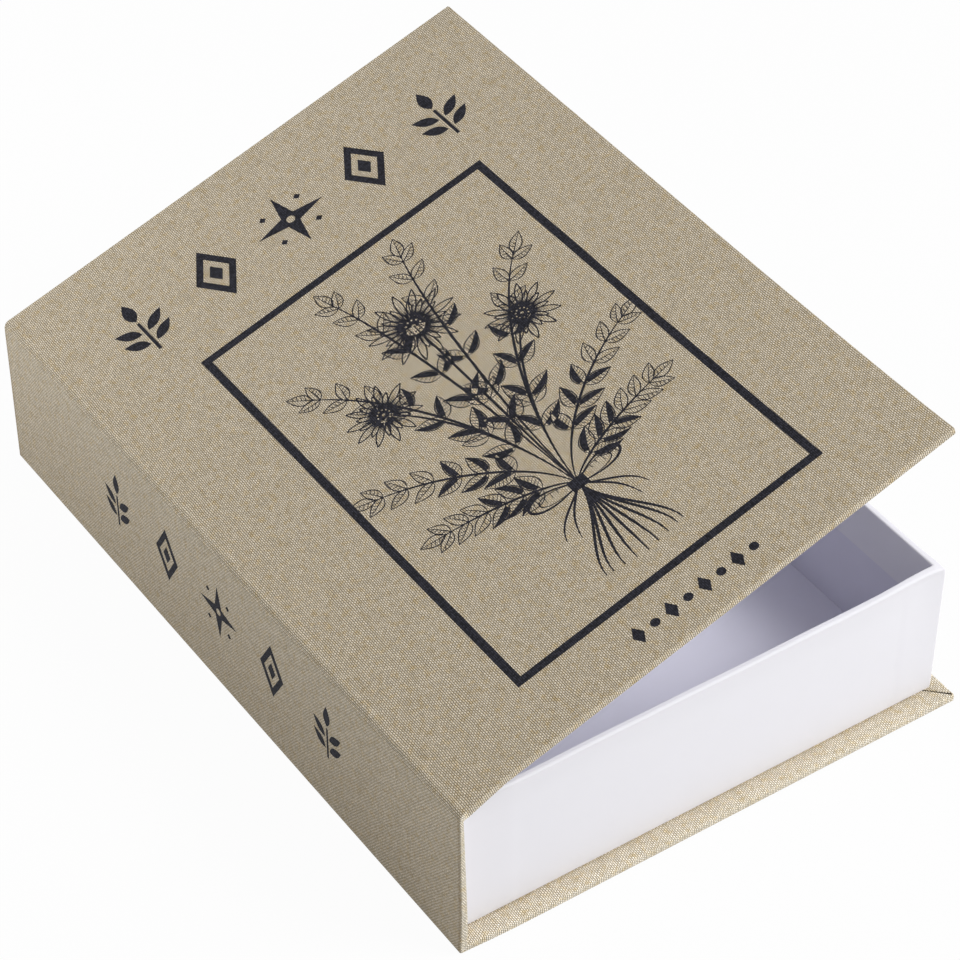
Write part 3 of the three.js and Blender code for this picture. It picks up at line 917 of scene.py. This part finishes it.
class BOOKBOX_OT_tray_wrap(Operator):
    """The white paper round the tray's walls, over the rim and down inside"""

    bl_idname = "book_box.tray_wrap"
    bl_label = "Tray wrap"

    def execute(self, context):
        sizes = context.scene.book_box_sizes
        radius, inner, wall = sizes.rim_round, sizes.rim_inner, sizes.wall_thick
        bottom, top = BASE_HIGH.z - 0.1 * MM, TRAY_HIGH.z
        under = bottom + 0.13 * MM
        profile = [(12 * MM, under), (1.2 * MM, under)]
        for turn in (0, 0.4, 0.8, 1.2, math.pi / 2):
            profile.append((FOOT_ROUND * (1 - math.sin(turn)), bottom + FOOT_ROUND * (1 - math.cos(turn))))
        profile += [(0, z) for z in spanned(bottom + 2 * MM, top - 3 * MM, 8 * MM) + [top - 1.6 * radius]]
        profile += arc(radius, top - radius, radius, math.pi, 6)
        profile += arc(wall - inner, top - inner, inner, math.pi / 2, 4)
        profile += [(wall, top - depth) for depth in (0.8 * MM, 3 * MM, 9 * MM, sizes.wrap_turn)]

        def relief(point, inset, height):
            """Lifts the paper over the tapes, lets the rim wander, and leans and wears one corner."""
            side = -1 if point.y < 0 else 1
            past_wall = min(abs(point.y - TRAY_LOW.y), abs(point.y - TRAY_HIGH.y))
            if inset < 0.5 * wall and height > bottom + 1.5 * MM and past_wall < 2 * MM:
                after, before = (point.x - TRAY_LOW.x, TRAY_HIGH.x - point.x)[::-side]
                past = min(after - TAPE_AFTER, before - TAPE_BEFORE)
                point.y += side * sizes.stay_proud * (1 - smooth_step((past + 3.2 * MM) / (4 * MM)))
            rim = near(top - height, 3 * MM)
            wave = math.sin(point.x * 71 + point.y * 23) + 0.6 * math.sin(point.x * 173 - point.y * 61 + 1.1)
            point.z += rim * sizes.rim_wave * wave * 0.6
            # the corner by the tail and the fore-edge stands out, most at its rim
            fore, tail = TRAY_HIGH.x - point.x, point.y - TRAY_LOW.y
            lean = 0.12 * MM + sizes.corner_lean * (height - bottom) / (top - bottom)
            lean *= near(max(fore, tail), 12 * MM) ** 2 * near(inset, wall)
            point += Vector((lean, -lean, 0)) if height > bottom else Vector()
            # and its rim is worn round
            worn = near(math.hypot(TRAY_HIGH.x - point.x, point.y - TRAY_LOW.y), 3 * MM) * rim * rim
            return bowed(sizes, point + worn * Vector((-0.35 * MM, 0.35 * MM, -0.25 * MM)))

        stations = tray_stations()
        bm = loft_rings([[relief(p, *level) for p in tray_ring(stations, *level)] for level in profile])
        # painted shade: the wrap's outer face is painted greyer towards the rim, most on the rim's outer fold
        layer = bm.verts.layers.float.new("worn")
        for vert in bm.verts:
            x, y, z = vert.co
            inset = min(x - TRAY_LOW.x, TRAY_HIGH.x - x, y - TRAY_LOW.y, TRAY_HIGH.y - y)
            rim_shade = 0.35 * smooth_step((z - top + 12 * MM) / (8 * MM))
            rim_shade += 0.65 * smooth_step((z - top + 2 * MM) / (0.8 * MM))
            vert[layer] = rim_shade * (1 - smooth_step((inset - 0.2 * MM) / (0.6 * MM)))
        wrap = new_piece("tray_wrap_paper", bm, finish_of("wrap"))
        thicken(wrap, sizes.paper_thick)
        tie(wrap, "case", "wrap_paper", "tray_wrap")
        return {"FINISHED"}


class BOOKBOX_OT_tray_lining(Operator):
    """The band of paper below the wrap's edge and the sheet on the tray's floor"""

    bl_idname = "book_box.tray_lining"
    bl_label = "Tray lining"

    def execute(self, context):
        sizes = context.scene.book_box_sizes
        gap = 0.02 * MM
        stations = tray_stations()
        levels = spanned(TRAY_HIGH.z - sizes.wrap_turn - gap, FLOOR_HIGH.z + gap, 8 * MM)
        bm = loft_rings([[bowed(sizes, p) for p in tray_ring(stations, sizes.wall_thick, z)] for z in levels])
        for face in bm.faces:
            middle = face.calc_center_median()
            if face.normal.dot(Vector((-middle.x, -middle.y, 0))) < 0:
                face.normal_flip()
        band = new_piece("tray_wall_paper", bm, finish_of("lining"))
        thicken(band, sizes.paper_thick)
        tie(band, "case", "lining_paper", "tray_wall_lining")

        def settled(x, y):
            edge = min(x - FLOOR_LOW.x, FLOOR_HIGH.x - x, y - FLOOR_LOW.y, FLOOR_HIGH.y - y)
            wave = 0.05 * MM * math.sin(x * 60 + 1) * math.sin(y * 47)
            return Vector((x, y, FLOOR_HIGH.z + wave * smooth_step(edge / (20 * MM))))

        bm = flat_grid(*(spanned(FLOOR_LOW[axis], FLOOR_HIGH[axis], 6 * MM) for axis in range(2)))
        fold(bm, settled)
        sheet = new_piece("tray_floor_paper", bm, finish_of("lining"))
        thicken(sheet, sizes.paper_thick)
        tie(sheet, "case", "lining_paper", "tray_floor_lining")
        return {"FINISHED"}


class BOOKBOX_OT_fitted_boards(Operator):
    """The board in the tray's tail wall, bowed out with its paper, and the one in the spine, pressed at its ends"""

    bl_idname = "book_box.fitted_boards"
    bl_label = "Fitted boards"

    def execute(self, context):
        for name, node, cuts, place in (
            ("tail_wall_bowed", "tray_wall_tail", ((0, 28), (2, 7)), bowed),
            ("spine_board_pressed", "spine_board", ((1, 130), (2, 5)), pressed),
        ):
            low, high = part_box(node)
            bm = bmesh.new()
            bmesh.ops.create_cube(bm, size=1)
            for axis, count in cuts:
                along = [e for e in bm.edges if abs((e.verts[0].co - e.verts[1].co)[axis]) > 0.5]
                bmesh.ops.subdivide_edges(bm, edges=along, cuts=count, use_grid_fill=True)
            for vert in bm.verts:
                at = Vector([low[i] + (vert.co[i] + 0.5) * (high[i] - low[i]) for i in range(3)])
                vert.co = place(context.scene.book_box_sizes, at)
            board = new_piece(name, bm, finish_of("board"), smooth=False)
            tie(board, "case", "greyboard", node)
        return {"FINISHED"}


class BOOKBOX_OT_boards(Operator):
    """Finishes for the CAD's own pieces: the boards and tapes that show, and the ones that a piece replaces"""

    bl_idname = "book_box.boards"
    bl_label = "Boards and tapes"

    def execute(self, context):
        finishes = {"greyboard": "board", "stay_tape": "tape", "lining_paper": "lining",
                    "wrap_paper": "wrap", "book_cloth": "inner cloth"}
        for row in frame["record"]["subparts"]:
            frame["nodes"][row["node"]].material_slots[0].material = finish_of(finishes[row["material_slot"]])
        return {"FINISHED"}


# The printing


def curve_to_mesh(name, data):
    """Turns a curve into a mesh with closed, outward faces."""
    holder = bpy.data.objects.new(name, data)
    bpy.context.scene.collection.objects.link(holder)
    mesh = bpy.data.meshes.new_from_object(holder)
    bpy.data.objects.remove(holder)
    bpy.data.curves.remove(data)
    bm = bmesh.new()
    bm.from_mesh(mesh)
    bmesh.ops.remove_doubles(bm, verts=bm.verts, dist=1e-7)
    bmesh.ops.recalc_face_normals(bm, faces=bm.faces)
    bm.to_mesh(mesh)
    bm.free()
    return mesh


def flat_shapes(name, outlines, proud):
    """A mesh of flat filled shapes, as thick as the ink stands proud. An outline inside another is a hole."""
    data = bpy.data.curves.new(name, "CURVE")
    data.dimensions, data.fill_mode, data.extrude = "2D", "BOTH", proud
    for outline in outlines:
        spline = data.splines.new("POLY")
        spline.points.add(len(outline) - 1)
        for point, (x, y) in zip(spline.points, outline):
            point.co = (x, y, 0, 1)
        spline.use_cyclic_u = True
    return curve_to_mesh(name, data)


def pen_strokes(name, strokes, proud):
    """A mesh of pen strokes that swell and thin: each is a list of x, y and width."""
    data = bpy.data.curves.new(name, "CURVE")
    data.dimensions, data.bevel_depth, data.bevel_resolution = "3D", 1.0, 0
    data.use_fill_caps, data.twist_mode = True, "Z_UP"
    for stroke in strokes:
        spline = data.splines.new("POLY")
        spline.points.add(len(stroke) - 1)
        for point, (x, y, wide) in zip(spline.points, stroke):
            point.co = (x, y, 0, 1)
            point.radius = wide / 2
    mesh = curve_to_mesh(name, data)
    widest = max(wide for stroke in strokes for _, _, wide in stroke) / 2
    for vert in mesh.vertices:
        vert.co.z *= proud / widest
        if abs(vert.co.z) > 1e-7:
            vert.co.z = math.copysign(max(abs(vert.co.z), proud * 0.45), vert.co.z)
    return mesh


def printed(name, mesh, body, flat_at, place):
    """Lays a flat print on the cloth, with the cloth's own coordinates, so that the weave runs on under it."""
    layer = mesh.uv_layers.new(name="flat")
    for loop in mesh.loops:
        layer.data[loop.index].uv = flat_at(*mesh.vertices[loop.vertex_index].co.xy)
    for vert in mesh.vertices:
        vert.co = place(*vert.co)
    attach(new_piece(name, mesh, finish_of("ink"), smooth=False), body)


def steps(count):
    """Even shares from 0 to 1."""
    return [i / count for i in range(count + 1)]


def heading(angle):
    """A direction in the print's plane, and the one to its left."""
    along = Vector((math.cos(angle), math.sin(angle)))
    return along, Vector((-along.y, along.x))


def ring(x, y, radii, count, start=0.0):
    """Points round a place, at one radius or at several in turn."""
    angles = [start + 2 * math.pi * i / count for i in range(count)]
    reach = [radii[i % len(radii)] for i in range(count)]
    return [(x + r * math.cos(angle), y + r * math.sin(angle)) for r, angle in zip(reach, angles)]


def lozenge(x, y, wide, high):
    """The corners of a lozenge round a place."""
    return [(x + wide / 2, y), (x, y + high / 2), (x - wide / 2, y), (x, y - high / 2)]


def oblong(x, y, half, low, high):
    """The corners of an upright bar, by its half width and by its ends' distance from a place."""
    return [(x - half, y + low), (x + half, y + low), (x + half, y + high), (x - half, y + high)]


def leaf_outline(root, tip, belly):
    """An almond outline from root to tip; belly is its half width."""
    root, along = Vector(root), Vector(tip) - Vector(root)
    side = Vector((-along.y, along.x)).normalized()
    shares = steps(9)
    out = [root + along * t + side * belly * math.sin(math.pi * t ** 0.85) for t in shares]
    back = [root + along * t - side * belly * math.sin(math.pi * t ** 0.85) for t in shares[-2:0:-1]]
    return [(p.x, p.y) for p in out + back]


def ornament(kind, x, y, high):
    """Outlines of one plain ornament, centred at a place and as high as asked."""
    if kind == "lozenge":
        return [lozenge(x, y, wide * high, tall * high) for wide, tall in ((0.62, 1), (0.40, 0.645), (0.20, 0.32))]
    if kind == "star":
        small = [lozenge(x + dx * high, y + dy * high, 0.10 * high, 0.10 * high)
                 for dx, dy in ((0.27, 0.27), (-0.27, 0.27), (0.27, -0.27), (-0.27, -0.27))]
        rays = ring(x, y, (0.5 * high, 0.13 * high), 8, math.pi / 2)
        return [rays, ring(x, y, (0.06 * high,), 20)] + small
    shapes = [leaf_outline((x, y + 0.12 * high), (x, y + 0.5 * high), 0.085 * high)]
    shapes.append(oblong(x, y, 0.022 * high, -0.5 * high, 0.08 * high))
    for side in (-1, 1):
        for root, reach, lift in ((-0.34, 0.30, 0.20), (-0.12, 0.30, 0.22)):
            inner = (x + side * 0.05 * high, y + root * high)
            outer = (x + side * (0.05 + reach) * high, y + (root + lift) * high)
            shapes.append(leaf_outline(inner, outer, 0.075 * high))
    return shapes


def ornament_row(start, step, y, high):
    """Outlines of the row of five ornaments, with its measures in millimetres."""
    places = [(kind, (start + step * i) * MM) for i, kind in enumerate(ROW)]
    return [outline for kind, x in places for outline in ornament(kind, x, y * MM, high * MM)]


def swept(points, wide, count):
    """A stroke along a curve through four control points, thin at both ends."""
    a, b, c, d = (Vector(p) for p in points)
    made = []
    for t in steps(count):
        p = a * (1 - t) ** 3 + b * 3 * t * (1 - t) ** 2 + c * 3 * t * t * (1 - t) + d * t ** 3
        made.append((p.x, p.y, wide * (0.35 + 0.65 * math.sin(math.pi * min(max(t, 0.03), 0.97)))))
    return made


def drawn_leaf(strokes, fills, root, angle, size, chance, bend):
    """A leaf with a midrib, and half of it shaded by fine lines or filled."""
    along, side = heading(angle)
    root = Vector(root)

    def at(t, s):
        droop = bend * size * t * t
        return root + along * size * t + side * (s * 0.24 * size * math.sin(math.pi * t ** 0.8) + droop)

    for half in (-1, 1):
        strokes.append([(*at(t, half), 0.42 * MM * (0.6 + 0.4 * math.sin(math.pi * t))) for t in steps(9)])
    strokes.append([(*at(t, 0), 0.40 * MM * (1.1 - 0.7 * t)) for t in steps(6)])
    dark = 1 if chance.random() < 0.5 else -1
    if size > 9 * MM:
        edge = [tuple(at(t, dark * 0.86)) for t in steps(8)[-2:0:-1]]
        fills.append([tuple(at(t, 0)) for t in steps(8)[1:]] + edge)
        dark = -dark
    veins = max(3, int(size / (1.5 * MM)))
    for i in range(1, veins):
        t = 0.08 + 0.8 * i / veins
        vein = ((t, 0, 0.30), (min(t + 0.05, 1), dark * 0.45, 0.26), (min(t + 0.10, 1), dark * 0.88, 0.16))
        strokes.append([(*at(t2, s), wide * MM) for t2, s, wide in vein])


def drawn_flower(strokes, fills, middle, size, petals, chance):
    """A daisy seen from the front, with a stippled middle and lines down each petal."""
    x, y = middle
    middle = Vector(middle)
    heart = 0.26 * size
    for reach, offset in ((1.0, 0.0), (0.72, 0.5)):
        for k in range(petals):
            along, side = heading(2 * math.pi * (k + offset) / petals + 0.06 * chance.uniform(-1, 1))
            wide = 0.9 * math.pi * size * reach / petals * 0.36

            def at(t, s):
                out = heart * 0.9 + (size * reach - heart) * t
                return middle + along * out + side * s * wide * math.sin(math.pi * (0.12 + 0.88 * t) ** 1.35)

            for half in (-1, 1):
                strokes.append([(*at(t, half), 0.45 * MM) for t in steps(8)])
            for s, stop in ((0, 0.72), (-0.45, 0.5), (0.45, 0.5)):
                strokes.append([(*at(t * stop, s), 0.34 * MM * (1.1 - t)) for t in steps(4)])
    fills.append(ring(x, y, (heart,), 24))
    fills.extend(ring(*seed, (0.09 * heart,), 8) for seed in ring(x, y, (0.62 * heart,), 10))
    fills.append(ring(x, y, (0.16 * heart,), 10))


def bouquet(middle, low, high):
    """Strokes and filled shapes of a tied bunch of leaves and daisies, as a generic engraving."""
    chance = random.Random(11)
    strokes, fills = [], []
    tall = high - low
    tie_y = low + 0.24 * tall

    def from_tie(x, y):
        return middle + x * MM, tie_y + y * MM

    tied = from_tie(0, 0)
    crowns = ((0, 0.80, 1), (-0.17, 0.66, 1), (0.17, 0.66, 1), (-0.30, 0.50, 0), (0.30, 0.50, 0), (-0.085, 0.97, 0),
              (0.085, 0.97, 0), (-0.25, 0.80, 0), (0.25, 0.80, 0), (-0.25, 0.33, 0), (0.25, 0.33, 0))
    for dx, dy, blooms in crowns:
        tip = (middle + dx * tall, low + dy * tall)
        lean = Vector((tip[0] - middle, tip[1] - tie_y))
        inner = (middle + 0.12 * lean.x, tie_y + 0.45 * lean.y)
        outer = (middle + 0.62 * lean.x, tie_y + 0.85 * lean.y)
        path = swept([tied, inner, outer, tip], 0.9 * MM, 24)
        strokes.append(path)
        foot = (middle - 0.30 * dx * tall, low + 0.015 * tall + 0.04 * abs(dx) * tall)
        below = (middle - 0.02 * dx * tall, tie_y - 0.08 * tall)
        strokes.append(swept([tied, below, (foot[0], foot[1] + 0.06 * tall), foot], 0.95 * MM, 12))
        first, last = (7, 12) if blooms else (8, 24)
        if blooms:
            size, petals = (15.5 * MM, 13) if dx == 0 else (12.5 * MM, 11)
            drawn_flower(strokes, fills, tip, size, petals, chance)
        for i in range(first, last, 3):
            x, y, _ = path[i]
            ahead = path[min(i + 1, 24)]
            angle = math.atan2(ahead[1] - path[i - 1][1], ahead[0] - path[i - 1][0])
            size = (10.5 - 3.0 * (i - first) / (last - first)) * MM
            for side in (-1, 1):
                turn = side * chance.uniform(0.75, 0.95)
                drawn_leaf(strokes, fills, (x, y), angle + turn, size, chance, -side * 0.12)
        if not blooms:
            angle = math.atan2(path[24][1] - path[22][1], path[24][0] - path[22][0])
            drawn_leaf(strokes, fills, tip, angle, 8.5 * MM, chance, 0)
    for side in (-1, 1):
        for (x1, y1), (x2, y2), wide in (((20, 13), (24, -7), 1.0), ((16, 9), (19, -4.5), 0.45)):
            loop = [tied, from_tie(side * x1, y1), from_tie(side * x2, y2), from_tie(0, -0.5)]
            strokes.append(swept(loop, wide * MM, 18))
        for reach, drop in ((11, 17), (15, 15)):
            tail = [tied, from_tie(side * 4, -5), from_tie(side * (reach - 2), -7), from_tie(side * reach, -drop)]
            strokes.append(swept(tail, 0.8 * MM, 12))
        for k in range(5):
            x, y = from_tie(side * (6 + 2.2 * k), 3.4 - 0.2 * k)
            strokes.append([(x, y, 0.36 * MM), (x + side * 0.4 * MM, y - 2.4 * MM, 0.2 * MM)])
    fills.append(oblong(middle, tie_y, 3 * MM, -2.4 * MM, 2.0 * MM))
    return strokes, fills


class BOOKBOX_OT_lid_print(Operator):
    """The border, the row of ornaments, the bouquet and the small row on the lid"""

    bl_idname = "book_box.lid_print"
    bl_label = "Lid print"

    def execute(self, context):
        sizes = context.scene.book_box_sizes
        proud = sizes.ink_proud

        def flat_at(x, y):
            return flat_on_lid(sizes, x), y

        def place(x, y, z):
            return lid_place(sizes, x, y, sizes.lid_top + z)

        line = 2.7 * MM
        low, high = Vector((37.8, -107.1)) * MM, Vector((147.4, 65.0)) * MM
        inner, outer = Vector((low.x + line, low.y + line)), Vector((high.x - line, high.y - line))
        lines = ([low[i], *spanned(inner[i], outer[i], 8 * MM), high[i]] for i in range(2))
        bm = flat_grid(*lines, lambda x, y: not (inner.x < x < outer.x and inner.y < y < outer.y))

        def askew(x, y):
            """The frame isn't printed quite square."""
            far = (y - low.y) / (high.y - low.y)
            left, right = (37.8 - 0.5 * far) * MM, (148.2 - 1.9 * far) * MM
            return left + (right - left) * (x - low.x) / (high.x - low.x), y

        write_flat(bm, lambda x, y, _: flat_at(*askew(x, y)))
        fold(bm, lambda x, y: place(*askew(x, y), proud))
        border = new_piece("print_border", bm, finish_of("ink"), smooth=False)
        thicken(border, 2 * proud)
        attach(border, "lid")

        small = []
        for i in range(8):
            x, y = (72.5 + 5.94 * i) * MM, -118.0 * MM
            small.append(ring(x, y, (1.5 * MM,), 20) if i % 2 else lozenge(x, y, 4.0 * MM, 7.0 * MM))
        strokes, fills = bouquet(92.6 * MM, -99 * MM, 56 * MM)
        for name, draw, shapes, deep in (
            ("print_title_row", flat_shapes, ornament_row(31.5, 29.3, 92.5, 25), proud),
            ("print_small_row", flat_shapes, small, proud),
            ("print_bouquet_lines", pen_strokes, strokes, proud * 1.3),
            ("print_bouquet_shades", flat_shapes, fills, proud),
        ):
            printed(name, draw(name, shapes, deep), "lid", flat_at, place)
        return {"FINISHED"}


class BOOKBOX_OT_spine_print(Operator):
    """The row of ornaments down the spine"""

    bl_idname = "book_box.spine_print"
    bl_label = "Spine print"

    def execute(self, context):
        proud = context.scene.book_box_sizes.ink_proud
        mesh = flat_shapes("print_spine_row", ornament_row(-61, 30.5, 31.5, 21), proud)
        printed("print_spine_row", mesh, "case", lambda x, y: (-y, -x), lambda x, y, z: Vector((SKIN_X - z, -x, y)))
        return {"FINISHED"}


# The stage


def area_lamp(name, at, size, watts):
    """A square lamp that looks at the box."""
    data = bpy.data.lights.new(name, "AREA")
    data.shape, data.size, data.size_y = "RECTANGLE", size, size
    data.energy = watts
    lamp = bpy.data.objects.new(name, data)
    bpy.context.scene.collection.objects.link(lamp)
    lamp.location = at
    lamp.rotation_euler = (Vector((0, 0, 30 * MM)) - Vector(at)).to_track_quat("-Z", "Y").to_euler()


def seen_directly(add):
    """1 for the rays that show a surface to the camera, also in gloss and through glass."""
    rays = add("LightPath").outputs
    seen = add("Math", [rays["Is Camera Ray"], rays["Is Glossy Ray"]], operation="MAXIMUM")
    return add("Math", [seen, rays["Is Transmission Ray"]], operation="MAXIMUM")


class BOOKBOX_OT_stage(Operator):
    """The pale floor, the studio light and the camera"""

    bl_idname = "book_box.stage"
    bl_label = "Stage"

    def execute(self, context):
        scene = context.scene
        # a matt white floor that the camera sees lighter than it is, with the box's shadow still on it
        material, add = new_material("studio_floor_pale")
        share = add("Math", [seen_directly(add), 0.96], operation="MULTIPLY")
        matt = add("BsdfDiffuse", {"Color": linear("#D8D8D8")})
        glow = add("Emission", {"Color": linear("#FFFFFF"), "Strength": 1.0})
        above = add("MixShader", [share, matt, glow])
        below = add("NewGeometry").outputs["Backfacing"]
        add("OutputMaterial", [add("MixShader", [below, above, add("BsdfTransparent")])])
        bm = bmesh.new()
        bmesh.ops.create_grid(bm, x_segments=1, y_segments=1, size=6.0)
        bmesh.ops.translate(bm, verts=bm.verts, vec=(0, 0, -0.2 * MM))
        new_piece("floor", bm, material, smooth=False)

        scene.world = bpy.data.worlds.new("studio")
        scene.world.use_nodes = True
        add = node_adder(scene.world.node_tree)
        level = add("MapRange", {"Value": seen_directly(add), "To Min": 0.42})
        add("OutputWorld", [add("Background", {"Color": linear("#FFFFFF"), "Strength": level})])
        area_lamp("key_lamp", (0.75, -0.85, 1.03), 0.7, 18.3)
        area_lamp("far_lamp", (-0.3, 0.4, 0.2), 0.25, 1.0)

        data = bpy.data.cameras.new("photo_camera")
        data.sensor_width, data.lens = 36.0, 131.964
        data.clip_start, data.clip_end = 0.05, 20
        camera = bpy.data.objects.new("photo_camera", data)
        scene.collection.objects.link(camera)
        azimuth, elevation, roll = (math.radians(degrees) for degrees in (-33.8173, 41.5434, -0.39715))
        level = math.cos(elevation)
        back = Vector((math.sin(azimuth) * level, -math.cos(azimuth) * level, math.sin(elevation)))
        right = Vector((0, 0, 1)).cross(back).normalized()
        up = back.cross(right)
        across = right * math.cos(roll) + up * math.sin(roll)
        upward = up * math.cos(roll) - right * math.sin(roll)
        aim, distance, aside, above = Vector((0, 0, 28 * MM)), 1.09403, 3.703 * MM, 8.446 * MM
        at = aim + back * distance + across * aside + upward * above
        camera.matrix_world = Matrix.Translation(at) @ Matrix((across, upward, back)).transposed().to_4x4()
        scene.camera = camera
        scene.view_settings.view_transform = "Standard"
        return {"FINISHED"}


OPERATORS = (
    BOOKBOX_OT_stage,
    BOOKBOX_OT_case_cloth,
    BOOKBOX_OT_hinge_cloth,
    BOOKBOX_OT_lid_board,
    BOOKBOX_OT_lid_cloth,
    BOOKBOX_OT_hinge_lining,
    BOOKBOX_OT_tray_wrap,
    BOOKBOX_OT_tray_lining,
    BOOKBOX_OT_fitted_boards,
    BOOKBOX_OT_boards,
    BOOKBOX_OT_lid_print,
    BOOKBOX_OT_spine_print,
)


class BOOKBOX_PT_panel(Panel):
    """The steps that build the box, and its sizes and colours"""

    bl_label = "Book Box"
    bl_idname = "BOOKBOX_PT_panel"
    bl_space_type = "VIEW_3D"
    bl_region_type = "UI"
    bl_category = "Book Box"

    def draw(self, context):
        column = self.layout.column()
        for operator in OPERATORS:
            column.operator(operator.bl_idname)
        for group in (context.scene.book_box_sizes, context.scene.book_box_colours):
            for name in group.bl_rna.properties.keys():
                if name not in ("rna_type", "name"):
                    column.prop(group, name)


CLASSES = (BookBoxSizes, BookBoxColours, *OPERATORS, BOOKBOX_PT_panel)


def register():
    for item in CLASSES:
        bpy.utils.register_class(item)
    bpy.types.Scene.book_box_sizes = PointerProperty(type=BookBoxSizes)
    bpy.types.Scene.book_box_colours = PointerProperty(type=BookBoxColours)


def unregister():
    del bpy.types.Scene.book_box_sizes
    del bpy.types.Scene.book_box_colours
    for item in reversed(CLASSES):
        bpy.utils.unregister_class(item)


def main():
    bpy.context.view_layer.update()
    register()
    for operator in OPERATORS:
        group, name = operator.bl_idname.split(".")
        getattr(getattr(bpy.ops, group), name)()


if __name__ == "__main__":
    main()
